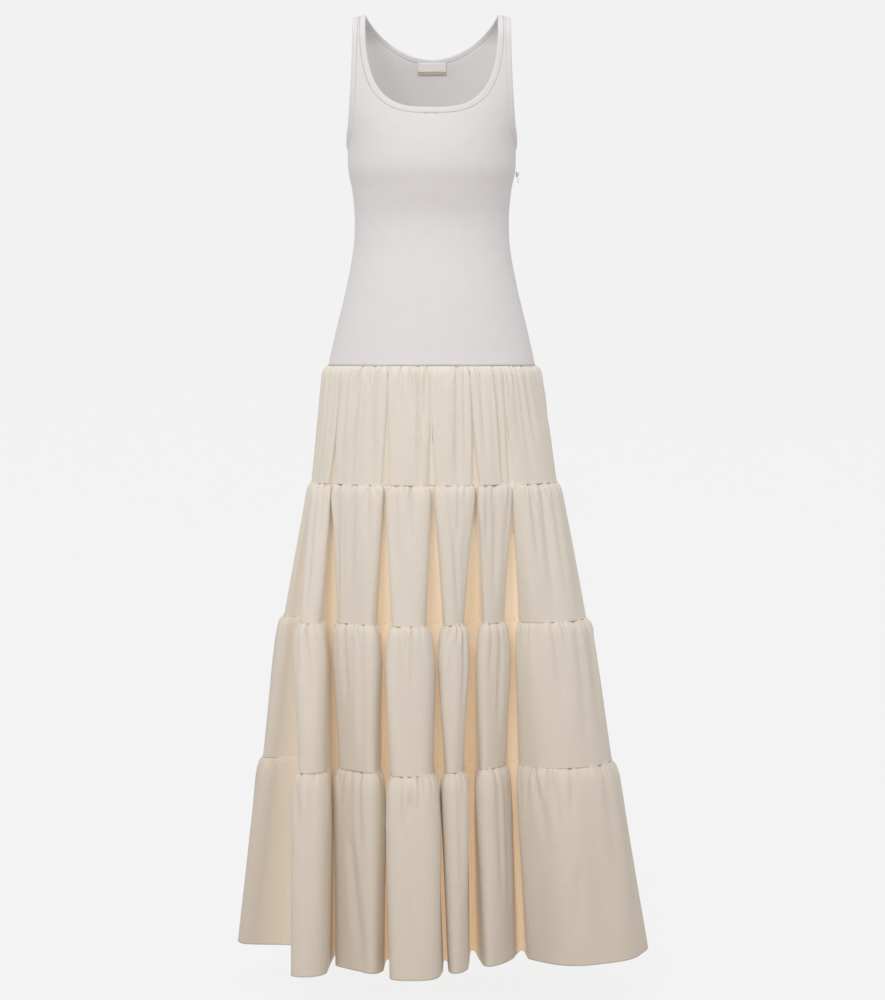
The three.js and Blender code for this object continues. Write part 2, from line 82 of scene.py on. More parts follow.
class ClothSettings(bpy.types.PropertyGroup):
    """The knit bodice and the woven skirt."""

    knit_colour: colour_setting("Knit colour", "Colour of the bodice and its bindings", "e5e1e2")
    woven_colour: colour_setting("Woven colour", "Colour of the skirt's cloth", "ece4d8")
    # Painted shade: the skirt's cloth darkens and warms towards the hem, where less light falls
    painted_hem_shade_colour: colour_setting("Hem colour", "Colour of the skirt's cloth at the hem", "d9ccbd")
    # Painted shade: a warmer, darker cloth colour mixed in deep in the folds, where shade falls
    painted_fold_shade_colour: colour_setting(
        "Hollow colour", "Warmer colour of the cloth deep in the folds", "ecdfc9")
    # Painted light: an emission deep in the folds that stands in for light scattering between their two
    # walls
    painted_fold_glow: FloatProperty(
        name="Hollow glow", description="Light that scatters between the two walls of a deep fold",
        min=0, max=1, default=0.17)
    cloth_thickness: length_setting(
        "Woven thickness", "Thickness of the skirt's cloth", 0.0004, 0.0016, 0.0009)
    knit_thickness: length_setting(
        "Knit thickness", "Thickness of the bodice's cloth", 0.0004, 0.0015, 0.0011)
    thread_pitch: length_setting(
        "Thread spacing", "Distance between two threads of the woven cloth", 0.0003, 0.003, 0.0009)
    rib_pitch: length_setting("Rib spacing", "Distance between two ribs of the knit", 0.0005, 0.005, 0.0014)


class GatherSettings(bpy.types.PropertyGroup):
    """The small gathers under each seam of the skirt."""

    depth: length_setting("Gather depth", "Greatest depth of a gather's crease", 0, 0.008, 0.0055)
    spacing: length_setting(
        "Gather spacing", "Mean distance between two creases along a seam", 0.005, 0.05, 0.0105)
    seed: IntProperty(
        name="Gather seed", description="Another number spreads the gathers differently",
        min=0, default=7)


class StitchSettings(bpy.types.PropertyGroup):
    """The stitches along the bindings."""

    length: length_setting("Stitch length", "Length of one stitch", 0.001, 0.006, 0.0024)
    gap: length_setting("Stitch gap", "Distance between two stitches", 0.0002, 0.004, 0.0008)
    thread: length_setting("Thread thickness", "Thickness of the sewing thread", 0.0001, 0.001, 0.0004)


class StudioSettings(bpy.types.PropertyGroup):
    """The floor, light and camera."""

    backdrop_colour: colour_setting("Backdrop colour", "Colour of the floor and the wall behind", "f4f4f4")
    low_colour: colour_setting(
        "Low light colour", "Colour of the even light that comes from below", "b4afaa")
    ambient: FloatProperty(
        name="Ambient light", description="Strength of the even light from all round",
        min=0, max=3, default=0.86)
    key: FloatProperty(
        name="Key light", description="Power of the soft light above the camera",
        subtype="POWER", unit="POWER", min=0, max=1000, default=54)
    distance: length_setting("Camera distance", "Distance from the camera to the dress", 1, 20, 3.8)


class DressSettings(bpy.types.PropertyGroup):
    """All settings of the dress."""

    cloth: PointerProperty(type=ClothSettings)
    gathers: PointerProperty(type=GatherSettings)
    stitches: PointerProperty(type=StitchSettings)
    studio: PointerProperty(type=StudioSettings)


# Tables of sizes


class Table:
    """Rows of named columns, the first of which is a height, with smooth curves through them."""

    def __init__(self, names, *rows):
        self.names = names.split()
        self.rows = np.array(sorted(rows), float)

    def column(self, name):
        return self.rows[:, self.names.index(name)]

    def at(self, name, z):
        heights, values = self.rows[:, 0], self.column(name)
        slopes = np.empty_like(values)
        slopes[1:-1] = (values[2:] - values[:-2]) / (heights[2:] - heights[:-2])
        slopes[0] = (values[1] - values[0]) / (heights[1] - heights[0])
        slopes[-1] = (values[-1] - values[-2]) / (heights[-1] - heights[-2])
        i = np.clip(np.searchsorted(heights, z, side="right") - 1, 0, len(heights) - 2)
        span = heights[i + 1] - heights[i]
        t = np.clip((z - heights[i]) / span, 0, 1)
        low = (2 * t ** 3 - 3 * t ** 2 + 1) * values[i] + (t ** 3 - 2 * t ** 2 + t) * span * slopes[i]
        return low + (3 * t ** 2 - 2 * t ** 3) * values[i + 1] + (t ** 3 - t ** 2) * span * slopes[i + 1]


WAIST_SEAM = -522
UNDERARM = -191
NECK_HALF_WIDTH = 98
NECK_BINDING = 9
ARM_BINDING = 8
STRAP_OUTER = 117
SHOULDER_ROUND = 40
SHOULDER_SLOPE = 0.19
SEAM_GAP = 0.3
BINDING_THICK = 2.2
# How far across a binding its stitches lie, from its seam
SEWN_SHARE = 0.2

# One row for each section of the bodice: its height, half width, and depth to front and back
SECTIONS = Table(
    "z half front back",
    (WAIST_SEAM, 155, 113, 118),
    (-471, 143.5, 107, 113),
    (-411, 129, 98, 102),
    (-351, 117.5, 88, 88),
    (-306, 115, 86, 81),
    (-261, 118.5, 97, 82),
    (-231, 124.5, 104, 86),
    (UNDERARM, 126.5, 101, 88),
    (-150, 138, 91, 86),
    (-100, 157, 76, 77),
    (-50, 180, 62, 63),
    (0, 208, 50, 50),
)

# The neckline's drop, and how square its curve is sideways and downwards, in front (-1) and behind (1)
NECK = {
    -1: {"drop": 144, "sideways": 3, "down": 3},
    1: {"drop": 58, "sideways": 2, "down": 1.12},
}

# One row for each level of the skirt. fold is the share of the hem's fold depth there, and high is
# how far the folds lie at their upper places.
LEVEL_NAMES = ("z", "half", "front", "back", "shift", "fold", "high")
LEVELS = [dict(zip(LEVEL_NAMES, row)) for row in (
    (WAIST_SEAM, 156, 114, 119, 0, 0, 1),
    (-696, 184, 130, 134, 4, 0.08, 1),
    (-899, 225, 152, 154, 5, 0.45, 0.55),
    (-1111, 259, 182, 184, 8, 0.75, 0.2),
    (-1392, 304, 236, 232, 15, 1, 0),
)]

# One row for each large fold, from the wearer's left side across the front and round the back: the
# ends of its face and the hollow after it, in degrees at the waist and at the hem, how far its face
# stands out at the places across it that FACE_SHARES names, and how deep the hollow is
FACE_SHARES = (0, 0.1, 0.5, 0.9, 1)
FOLD_NAMES = ("name", "start", "end", "out", "valley", "depth")
FOLDS = [dict(zip(FOLD_NAMES, row)) for row in (
    ("left hip", (4, 5), (49.2, 56), (2, 12, 15, -24, -92), (50.2, 48.5), 146),
    ("front 5", (51.2, 58.5), (68.9, 76), (-118, -108, -85, -67, -78), (70, 74), 176),
    ("front 4", (71.1, 80.6), (89.9, 88.1), (-80, -58, -37, -35, -52), (91, 88.6), 118),
    ("front 3", (92.1, 89.4), (112.2, 104.4), (-46, -4, 9, 9, 0), (113.2, 111.5), 112),
    ("front 2", (114.2, 107.8), (145, 126.5), (-40, -16, -34, -44, -50), (146, 137), 104),
    ("front 1", (147, 122.6), (164, 131.4), (2, 24, 38, 38, 22), (168, 169), 76),
    ("right hip", (172, 174.6), (187, 189), (-14, -1, 6, 5, -4), (193, 196), 78),
    ("back 1", (199, 203), (213, 217), (-2, 10, 20, 14, 0), (217, 221), 95),
    ("back 2", (221, 227), (237, 241), (-22, -10, -3, -10, -24), (241, 245), 105),
    ("back 3", (246, 250), (264, 265), (-6, 6, 14, 10, 0), (268, 269), 92),
    ("back 4", (272, 274), (290, 286), (-32, -18, -9, -14, -24), (294.5, 290), 112),
    ("back 5", (299, 295), (315, 308), (-10, 4, 13, 8, -4), (319, 313), 90),
    ("back 6", (323, 319), (336, 330), (-12, 0, 10, 4, -10), (340, 335), 84),
    ("back 7", (344, 341), (352, 350), (-6, 2, 7, 1, -8), (357, 356.5), 62),
)]
FOLD_INDEX = {fold["name"]: k for k, fold in enumerate(FOLDS)}
POINTS_PER_FOLD = 9
ALL_PLACES = len(FOLDS) * POINTS_PER_FOLD
# A hollow's flat floor: its least half width, and the share of the mouth that it follows
FLOOR_HALF_WIDTH = 2
FLOOR_SHARE = 0.4
# How far down a hollow's wall its guide point lies. A small share gives a tight edge to the face.
WALL_SHARE = 0.22
# Places of the two side seams, counted in the folds' guide points
LEFT_SEAM = 0.5 / 12 * POINTS_PER_FOLD - 1.5
RIGHT_SEAM = (6 + 4.5 / 9) * POINTS_PER_FOLD - 1.5

# One row for each tier: how far it puffs out under its seam, its rows and columns of faces, and how
# much wider its hollows open at its top, at MOUTH_TURN of its height and at its bottom
MOUTH_TURN = 0.25
TIER_NAMES = ("puff", "rows", "columns", "mouths")
TIERS = [dict(zip(TIER_NAMES, row)) for row in (
    (7, 42, 900, (0, 2, 8)),
    (5.5, 44, 1000, (6, 9, 22)),
    (7, 46, 1100, (20, 9, 13)),
    (8, 50, 1160, (12, 6, 3)),
)]

# The seam allowance above a tier: its height, and how far it lies inside the tier that holds it
SEAM_TUCK = {"height": 3, "inside": 0.25}

# The main creases and ridges of each tier: the fold that it lies on, where it starts
# and ends across that fold's face (0 to 1), its ends as shares of the tier's height, how deep it is
# (a ridge is negative) and how wide
CREASE_NAMES = ("tier", "fold", "across", "to", "top", "bottom", "depth", "width")
CREASES = [dict(zip(CREASE_NAMES, row)) for row in (
    (0, "front 1", 0.6, 0.7, 0, 1, 2.2, 4),
    (0, "front 1", 0.1, 0.16, 0.05, 0.9, 1.4, 5),
    (0, "front 2", 0.84, 0.92, 0, 1, 2.8, 3.5),
    (0, "front 2", 0.52, 0.62, 0, 1.1, 3.4, 3),
    (0, "front 2", 0.26, 0.18, 0, 1.1, 3, 5),
    (0, "front 3", 0.72, 0.75, 0, 0.45, 1.6, 3),
    (0, "front 3", 0.24, 0.18, 0, 1.2, 4.2, 3.2),
    (0, "front 3", 0.04, 0.14, 0, 0.7, 2.8, 4),
    (0, "front 4", 0.62, 0.6, 0.1, 1, -2.4, 6),
    (0, "front 4", 0.3, 0.42, 0, 1.2, 3.6, 4),
    (0, "front 4", 0.08, 0.16, 0, 1, 2.4, 3.5),
    (0, "front 5", 0.72, 0.78, 0, 0.9, 2.8, 3.5),
    (0, "front 5", 0.2, 0.16, 0, 1.2, 4.2, 3),
    (0, "left hip", 0.9, 0.86, 0, 0.75, 2.6, 4),
    (0, "left hip", 0.78, 0.72, 0, 1, 2.4, 5),
    (0, "left hip", 0.6, 0.56, 0, 0.8, 2, 5),
    (1, "front 1", 0.5, 0.62, 0, 1, 3, 4),
    (1, "front 1", 0.15, 0.2, 0, 0.5, 2.2, 4),
    (1, "front 2", 0.9, 0.96, 0, 1.1, 3.4, 4),
    (1, "front 2", 0.5, 0.58, 0, 0.8, 2.6, 5),
    (1, "front 2", 0.2, 0.14, 0, 0.5, 2.4, 4),
    (1, "front 3", 0.8, 0.86, 0, 0.7, 2.2, 4),
    (1, "front 3", 0.45, 0.4, 0, 0.5, 1.8, 5),
    (1, "front 4", 0.7, 0.3, 0, 1, 3.2, 4),
    (1, "front 4", 0.4, 0.46, 0, 0.55, 2.4, 3),
    (1, "front 5", 0.5, 0.56, 0, 0.9, 2.6, 4),
    (1, "front 5", 0.86, 0.84, 0, 0.5, 3.4, 2.6),
    (1, "left hip", 0.84, 0.8, 0, 0.6, 3, 3.5),
    (1, "left hip", 0.62, 0.68, 0, 1, 3, 6),
    (1, "left hip", 0.4, 0.5, 0, 0.9, 2.2, 7),
    (2, "right hip", 0.4, 0.3, 0, 0.7, 2.4, 6),
    (2, "front 1", 0.4, 0.3, 0, 0.8, 2.6, 5),
    (2, "front 1", 0.75, 0.78, 0, 0.35, 2.6, 3),
    (2, "front 2", 0.25, 0.3, 0, 1.1, 2.4, 6),
    (2, "front 2", 0.7, 0.62, 0, 0.6, 3, 4),
    (2, "front 3", 0.42, 0.46, 0, 0.45, 3.2, 2.6),
    (2, "front 3", 0.8, 0.74, 0, 0.9, 2.2, 6),
    (2, "front 4", 0.25, 0.2, 0, 0.6, 3.8, 2.6),
    (2, "front 4", 0.7, 0.66, 0, 0.9, 2.4, 4),
    (2, "front 5", 0.4, 0.46, 0, 0.8, 2.6, 4),
    (2, "front 5", 0.75, 0.7, 0, 0.4, 2.8, 3),
    (2, "left hip", 0.74, 0.68, 0, 0.6, 3.2, 5),
    (2, "left hip", 0.46, 0.54, 0, 1, 2.6, 8),
    (2, "left hip", 0.2, 0.26, 0, 0.7, 2.4, 8),
    (3, "right hip", 0.35, 0.2, 0, 0.4, 3, 6),
    (3, "right hip", 0.75, 0.8, 0, 0.7, 2.2, 7),
    (3, "front 1", 0.7, 0.62, 0, 0.3, 3.4, 4),
    (3, "front 1", 0.3, 0.4, 0.05, 0.9, 2.2, 8),
    (3, "front 2", 0.7, 0.3, 0.3, 1.1, 3, 8),
    (3, "front 2", 0.35, 0.3, 0, 0.4, 2.8, 4),
    (3, "front 3", 0.75, 0.7, 0, 0.35, 3.4, 4),
    (3, "front 3", 0.55, 0.5, 0, 0.22, 3.4, 3),
    (3, "front 3", 0.35, 0.42, 0, 0.2, 3, 3),
    (3, "front 3", 0.66, 0.6, 0.6, 1.05, 1.8, 8),
    (3, "front 4", 0.5, 0.42, 0, 0.7, 2.6, 4),
    (3, "front 5", 0.6, 0.5, 0, 0.8, 3, 5),
    (3, "front 5", 0.25, 0.3, 0.1, 0.9, 2, 6),
    (3, "left hip", 0.72, 0.8, 0, 0.24, 4, 4),
    (3, "left hip", 0.66, 0.84, 0.5, 0.95, 2.8, 9),
    (3, "left hip", 0.4, 0.46, 0, 0.7, 2.8, 9),
    (3, "left hip", 0.16, 0.2, 0, 0.8, 2.6, 9),
)]
# The hidden sides have like creases: for each fold behind, the fold in front that it follows
LIKE_FOLDS = {
    "back 1": "front 3", "back 2": "front 1", "back 3": "front 2", "back 4": "front 5",
    "back 5": "front 3", "back 6": "front 4", "back 7": "front 1",
}


# Meshes


def add_object(name, data):
    """A new object in the scene, at the origin."""
    added = bpy.data.objects.new(name, data)
    bpy.context.scene.collection.objects.link(added)
    return added


def running(steps):
    """How far along each point lies, from the steps between them."""
    return np.concatenate([[0], np.cumsum(steps)])


def patch_normals(points, quads):
    """The outward direction at each point of a patch of four-sided faces."""
    across = np.cross(points[quads[:, 2]] - points[quads[:, 0]], points[quads[:, 3]] - points[quads[:, 1]])
    normals = np.zeros_like(points)
    for axis in range(3):
        weights = np.repeat(across[:, axis], 4)
        normals[:, axis] = np.bincount(quads.ravel(), weights, len(points))
    return normals / np.maximum(np.linalg.norm(normals, axis=1, keepdims=True), 1e-12)


def grid_faces(rows, columns):
    """The faces of a grid of points that is stored row by row."""
    first = (np.arange(rows - 1)[:, None] * columns + np.arange(columns - 1)).ravel()
    return np.stack([first, first + 1, first + columns + 1, first + columns], 1)


def wall(points, quads, thickness):
    """A closed wall round a patch of cloth: its points, faces and how many of them are the two sides."""
    normals = patch_normals(points, quads)
    half = np.broadcast_to(np.asarray(thickness, float), len(points))[:, None] / 2
    count = len(points)
    starts, ends = quads.ravel(), np.roll(quads, -1, axis=1).ravel()
    back = np.isin(starts * count + ends, ends * count + starts)
    a, b = starts[~back], ends[~back]
    rim = np.stack([b, a, a + count, b + count], 1)
    sides = np.concatenate([quads, quads[:, ::-1] + count])
    return np.concatenate([points + normals * half, points - normals * half]), sides, rim


def mesh_piece(name, points, quads, uv, thickness, material, hollow=None):
    """A closed cloth piece, from a patch of points in millimetres."""
    shell, sides, rim = wall(points, quads, thickness)
    faces = np.concatenate([sides, rim])
    volume = np.einsum("ij,ij->", shell[faces[:, 0]], np.cross(shell[faces[:, 1]], shell[faces[:, 2]]))
    volume += np.einsum("ij,ij->", shell[faces[:, 0]], np.cross(shell[faces[:, 2]], shell[faces[:, 3]]))
    if volume < 0:
        faces = faces[:, ::-1]
    mesh = bpy.data.meshes.new(name)
    mesh.vertices.add(len(shell))
    mesh.vertices.foreach_set("co", (shell * MM).astype(np.float32).ravel())
    mesh.loops.add(faces.size)
    mesh.loops.foreach_set("vertex_index", faces.astype(np.int32).ravel())
    mesh.polygons.add(len(faces))
    mesh.polygons.foreach_set("loop_start", np.arange(0, faces.size, 4, dtype=np.int32))
    mesh.update(calc_edges=True)
    mesh.polygons.foreach_set("use_smooth", np.arange(len(faces)) < len(sides))
    layer = mesh.uv_layers.new(name="cloth")
    both = np.concatenate([uv, uv])
    layer.data.foreach_set("uv", (both[faces.ravel()] * MM).astype(np.float32).ravel())
    # How deep in a fold each point lies, which the linen uses for its painted shade and painted glow in the
    # folds
    if hollow is not None:
        attribute = mesh.attributes.new("hollow", "FLOAT", "POINT")
        attribute.data.foreach_set("value", np.concatenate([hollow, hollow]).astype(np.float32))
    mesh.materials.append(material)
    mesh.validate()
    return add_object(name, mesh)


def stand_for(piece, node):
    """The piece replaces its solid of the frame and moves with the dress."""
    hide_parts(node)
    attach(piece, "dress")
    return piece


# Materials


def node(tree, kind, links=None, **settings):
    """Adds a node with its settings. Each link is an input's value, or the output that feeds it."""
    added = tree.nodes.new(kind)
    for key, value in settings.items():
        setattr(added, key, value)
    for key, value in (links or {}).items():
        if isinstance(value, bpy.types.NodeSocket):
            tree.links.new(value, added.inputs[key])
        else:
            added.inputs[key].default_value = value
    return added


def new_material(name):
    material = bpy.data.materials.new(name)
    material.use_nodes = True
    tree = material.node_tree
    tree.nodes.clear()
    return material, tree


def with_alpha(colour):
    return (*colour, 1)


def flat_place(tree):
    return node(tree, "ShaderNodeUVMap", uv_map="cloth").outputs["UV"]


def wave(tree, place, pitch, direction, distortion, detail=2.0, detail_scale=1.0):
    """Even waves, one for each pitch. The texture repeats every pi / 10 units."""
    return node(tree, "ShaderNodeTexWave", {
        "Vector": place, "Scale": math.pi / 10 / pitch, "Distortion": distortion, "Detail": detail,
        "Detail Scale": detail_scale}, bands_direction=direction).outputs["Fac"]


def noise(tree, place, scale, detail, roughness=0.5):
    return node(tree, "ShaderNodeTexNoise", {
        "Vector": place, "Scale": scale, "Detail": detail, "Roughness": roughness}).outputs["Fac"]


def spread(tree, value, low, high, start=0.0, end=1.0):
    """Takes values from start to end to values from low to high."""
    return node(tree, "ShaderNodeMapRange", {
        "Value": value, "From Min": start, "From Max": end, "To Min": low, "To Max": high}).outputs["Result"]


def mixed(tree, share, first, second):
    return node(tree, "ShaderNodeMix", {
        "Factor": share, "A": first, "B": second}, data_type="RGBA").outputs["Result"]


def scaled(tree, colour, shade):
    return node(tree, "ShaderNodeVectorMath", {
        0: colour, "Scale": shade}, operation="SCALE").outputs["Vector"]


def calculate(tree, operation, *values):
    return node(tree, "ShaderNodeMath", dict(enumerate(values)), operation=operation).outputs[0]


def bumps(tree, height, strength, distance):
    return node(tree, "ShaderNodeBump", {
        "Strength": strength, "Distance": distance, "Height": height}).outputs["Normal"]


def finish_material(tree, surface):
    """Ends a material's tree in one surface with the given values."""
    shader = node(tree, "ShaderNodeBsdfPrincipled", surface)
    node(tree, "ShaderNodeOutputMaterial", {"Surface": shader.outputs[0]})


# Colour of the painted glow that stands in for light scattering in a deep fold, and the slubs' and the
# warp's stretch in each direction
PAINTED_FOLD_GLOW = "ffe6cb"
SLUB_STRETCH = (28, 620, 1)
WARP_STRETCH = (520, 34, 1)


def plain_weave_linen(settings):
    """Linen-like plain weave: fine threads both ways, with uneven slubs along the weft."""
    material, tree = new_material("plain_weave_linen")
    cloth = settings.cloth
    place = flat_place(tree)
    threads = [wave(tree, place, cloth.thread_pitch, direction, 0.6, 1.0, 0.4) for direction in ("X", "Y")]
    weave = calculate(tree, "MULTIPLY", *threads)
    # Slubs are 15 to 60 mm long and about 1 mm high
    along = node(tree, "ShaderNodeMapping", {"Vector": place, "Scale": SLUB_STRETCH}).outputs[0]
    down = node(tree, "ShaderNodeMapping", {"Vector": place, "Scale": WARP_STRETCH}).outputs[0]
    slubs, warp = noise(tree, along, 1.0, 2.0, 0.6), noise(tree, down, 1.0, 1.0)
    uneven = node(tree, "ShaderNodeMix", {
        "Factor": 0.35, "A": slubs, "B": warp}, data_type="FLOAT").outputs["Result"]
    hollow = node(tree, "ShaderNodeAttribute", attribute_name="hollow").outputs["Fac"]
    here = node(tree, "ShaderNodeTexCoord").outputs["Object"]
    height_here = node(tree, "ShaderNodeSeparateXYZ", {"Vector": here}).outputs["Z"]
    # Painted shade: the colour goes from the woven colour at the waist to the darker hem colour at the hem
    lower = spread(tree, height_here, 0.0, 1.0, WAIST_SEAM * MM, LEVELS[-1]["z"] * MM)
    painted_height_shade = mixed(tree, lower, with_alpha(cloth.woven_colour), with_alpha(cloth.painted_hem_shade_colour))
    # Painted shade: deep in the folds the cloth takes the warmer, darker fold colour
    painted_shade_tint = mixed(tree, hollow, painted_height_shade, with_alpha(cloth.painted_fold_shade_colour))
    colour = scaled(tree, painted_shade_tint, spread(tree, uneven, 0.955, 1.02, 0.3, 0.7))
    # Painted light: the folds glow by emission, standing in for light scattered between their walls
    light = with_alpha([part * cloth.painted_fold_glow for part in linear(PAINTED_FOLD_GLOW)])
    finish_material(tree, {
        "Base Color": colour, "Roughness": 0.88, "IOR": 1.45, "Sheen Weight": 0.12, "Sheen Roughness": 0.5,
        "Emission Color": mixed(tree, hollow, (0, 0, 0, 1), light), "Emission Strength": 1.0,
        "Normal": bumps(tree, calculate(tree, "MULTIPLY_ADD", uneven, 1.6, weave), 0.35, 0.00025)})
    return material


def fine_rib_knit(settings, name="fine_rib_knit", turned=False):
    """Cotton rib knit: narrow upright ribs with a soft, slightly fuzzy face."""
    material, tree = new_material(name)
    cloth = settings.cloth
    place = flat_place(tree)
    ribs = wave(tree, place, cloth.rib_pitch, "Y" if turned else "X", 0.5, 1.0, 0.6)
    courses = wave(tree, place, cloth.rib_pitch * 0.7, "X" if turned else "Y", 0.8)
    cloudy = noise(tree, place, 45.0, 3.0, 0.55)
    finish_material(tree, {
        "Base Color": scaled(tree, cloth.knit_colour, spread(tree, cloudy, 0.985, 1.01, 0.3, 0.7)),
        "Roughness": 0.85, "IOR": 1.45, "Sheen Weight": 0.2, "Sheen Roughness": 0.45,
        "Normal": bumps(tree, calculate(tree, "MULTIPLY_ADD", courses, 0.35, ribs), 0.3, 0.0002)})
    return material


def woven_tape(name, colour, pitch):
    """Narrow polyester tape: a tight satin face with fine cross threads."""
    material, tree = new_material(name)
    threads = wave(tree, flat_place(tree), pitch, "Y", 0.3)
    finish_material(tree, {
        "Base Color": scaled(tree, linear(colour), spread(tree, threads, 0.95, 1.02)),
        "Roughness": 0.6, "Normal": bumps(tree, threads, 0.25, 0.0001)})
    return material


def polyester_thread(colour):
    """Spun polyester sewing thread: a soft twist with a faint gloss."""
    material, tree = new_material("polyester_thread")
    twist = noise(tree, node(tree, "ShaderNodeTexCoord").outputs["Object"], 2500.0, 1.0)
    finish_material(tree, {
        "Base Color": scaled(tree, colour, spread(tree, twist, 0.9, 1.05)), "Roughness": 0.55})
    return material


def enamelled_zinc():
    """Die-cast zinc under a thin pale enamel, with a faint mottle."""
    material, tree = new_material("enamelled_zinc")
    mottle = noise(tree, node(tree, "ShaderNodeTexCoord").outputs["Object"], 900.0, 3.0)
    finish_material(tree, {
        "Base Color": scaled(tree, linear("ded9d6"), spread(tree, mottle, 0.94, 1.03)),
        "Metallic": 0.35, "Roughness": 0.32, "Normal": bumps(tree, mottle, 0.1, 0.0001)})
    return material


def matt_studio_paper(settings):
    """Matt studio paper: an even pale grey with a faint grain. Most of its light is its own."""
    material, tree = new_material("matt_studio_paper")
    grain = noise(tree, node(tree, "ShaderNodeTexCoord").outputs["Object"], 2.0, 2.0)
    tinted = scaled(tree, settings.studio.backdrop_colour, spread(tree, grain, 0.998, 1.002))
    finish_material(tree, {
        "Base Color": scaled(tree, tinted, 0.06), "Roughness": 0.95, "Specular IOR Level": 0.0,
        "Emission Color": scaled(tree, tinted, 0.94), "Emission Strength": 1.0})
    return material


# The bodice's surface


def bodice_point(side, x, z):
    """The point of the bodice at a sideways distance and a height. side is -1 in front and 1 behind."""
    half = SECTIONS.at("half", z)
    depth = np.where(np.asarray(side) < 0, SECTIONS.at("front", z), SECTIONS.at("back", z))
    near_top = np.clip(1 + z / SHOULDER_ROUND, 0, 1)
    drop = near_top * SHOULDER_SLOPE * np.maximum(0, np.abs(x) - NECK_HALF_WIDTH)
    y = side * depth * np.sqrt(1 - near_top ** 2) * np.sqrt(1 - np.clip(x / half, -1, 1) ** 2)
    return np.stack([x, y, z - drop], -1)


def neck_place(side, turn, inset):
    """The neckline's sideways distance and height at a turn from the middle (0) to the shoulder (1)."""
    shape = NECK[side]
    angle = np.radians(90 * turn)
    x = (NECK_HALF_WIDTH + inset) * np.sin(angle) ** (2 / shape["sideways"])
    z = -(shape["drop"] + inset) * np.clip(np.cos(angle), 0, 1) ** (2 / shape["down"])
    return x, z


def neck_turns(side, count):
    """Turns along the neckline, closest where it curves and where it goes over the shoulder."""
    share = np.linspace(0, 1, count) ** (NECK[side]["sideways"] / 2)
    return 1 - (1 - share) ** NECK[side]["down"]


def armhole_x(z, inset):
    """The armhole's sideways distance at a height. Its lowest point lies at the side of the body."""
    lowest = UNDERARM - inset
    half = SECTIONS.at("half", z)
    edge = STRAP_OUTER + 9.5 * np.clip(z / UNDERARM, 0, 1) ** 2.2 - inset
    rise = np.clip((z - lowest) / (0.15 * -lowest), 0, 1)
    return half + (np.minimum(edge, half) - half) * (1 - (1 - rise) ** 2)


def bodice_relief(x, z):
    """Soft pulls in the knit, in millimetres outwards."""
    seam = np.exp(-((np.abs(x) - SECTIONS.at("half", z)) / 2.0) ** 2)
    ripple = 0.5 * np.sin(x / 7.5 + np.sin(x / 31) * 2) * np.exp(-(z - WAIST_SEAM) / 14)
    return ripple - 0.35 * seam


def bodice_panel(side, columns=36):
    """The points, faces and flat places of the front or back panel, in two halves that share a middle."""
    arm_seam = UNDERARM - ARM_BINDING
    neck_seam = -NECK[side]["drop"] - NECK_BINDING
    low = np.linspace(WAIST_SEAM + SEAM_GAP, arm_seam, 84)
    middle = arm_seam + (neck_seam - arm_seam) * np.linspace(0, 1, 12 if side < 0 else 34)[1:] ** 1.4
    turns = neck_turns(side, 52 if side < 0 else 40)[1:]
    neck_x, neck_z = neck_place(side, turns, NECK_BINDING)
    arm_z = (neck_z + neck_seam * (1 - np.linspace(0, 1, len(neck_z) + 1)[1:])) / 2
    inner_x = np.concatenate([np.zeros(len(low) + len(middle)), neck_x])
    inner_z = np.concatenate([low, middle, neck_z])
    outer_z = np.concatenate([low, middle, arm_z])
    half = SECTIONS.at("half", outer_z)
    outer_x = np.where(outer_z < arm_seam, half, armhole_x(outer_z, ARM_BINDING))
    start = np.arcsin(np.clip(inner_x / SECTIONS.at("half", inner_z), 0, 1))
    finish = np.arcsin(np.clip(outer_x / half, 0, 1))
    # Columns lie closer together towards the side seam
    share = np.sin(np.linspace(0, 1, columns + 1) * math.pi / 2) ** 0.9
    angle = start[:, None] + (finish - start)[:, None] * share
    z = inner_z[:, None] + (outer_z - inner_z)[:, None] * share
    section = SECTIONS.at("half", z)
    x = section * np.sin(angle)
    rows, wide = z.shape
    points, places = [], []
    for hand in (-1, 1):
        point = bodice_point(side, (hand * x).ravel(), z.ravel())
        point[:, 1] += side * SEAM_GAP / 2
        points.append(point)
        places.append(np.stack([hand * (angle * section).ravel(), z.ravel()], -1))
    faces = grid_faces(rows, wide)
    left, right = faces[:, ::-1], faces + rows * wide
    points, quads = np.concatenate(points), np.concatenate([left, right])
    # The two halves share the middle column below the neckline
    shared = np.arange(len(low) + len(middle)) * wide
    to = np.arange(len(points))
    to[shared + rows * wide] = shared
    quads = to[quads]
    used, quads = np.unique(quads, return_inverse=True)
    quads = quads.reshape(-1, 4)
    points, places = points[used], np.concatenate(places)[used]
    normals = patch_normals(points, quads)
    outward = np.sign(np.sum(normals * [1, 1, 0] * points, axis=1).mean())
    points = points + outward * normals * bodice_relief(points[:, 0], points[:, 2])[:, None]
    return points, quads, places


def binding_loop(seam, edge, across=9):
    """A folded band between its seam and its free edge, each a closed loop of points."""
    share = np.linspace(0, 1, across)
    points = seam[:, None, :] + (edge - seam)[:, None, :] * share[:, None]
    count = len(seam)
    quads = grid_faces(count + 1, across) % (count * across)
    along = running(np.linalg.norm(np.diff(edge, axis=0), axis=1))
    width = np.linalg.norm(edge - seam, axis=1)
    places = np.stack(np.broadcast_arrays(along[:, None], width[:, None] * share), -1)
    rounded = np.sqrt(np.clip(1 - np.abs(2 * share - 1) ** 5, 0.04, 1))
    groove = 1 - 0.3 * np.exp(-((share - SEWN_SHARE) / 0.07) ** 2)
    thickness = np.tile(BINDING_THICK * rounded * groove, count)
    return points.reshape(-1, 3), quads, places.reshape(-1, 2), thickness


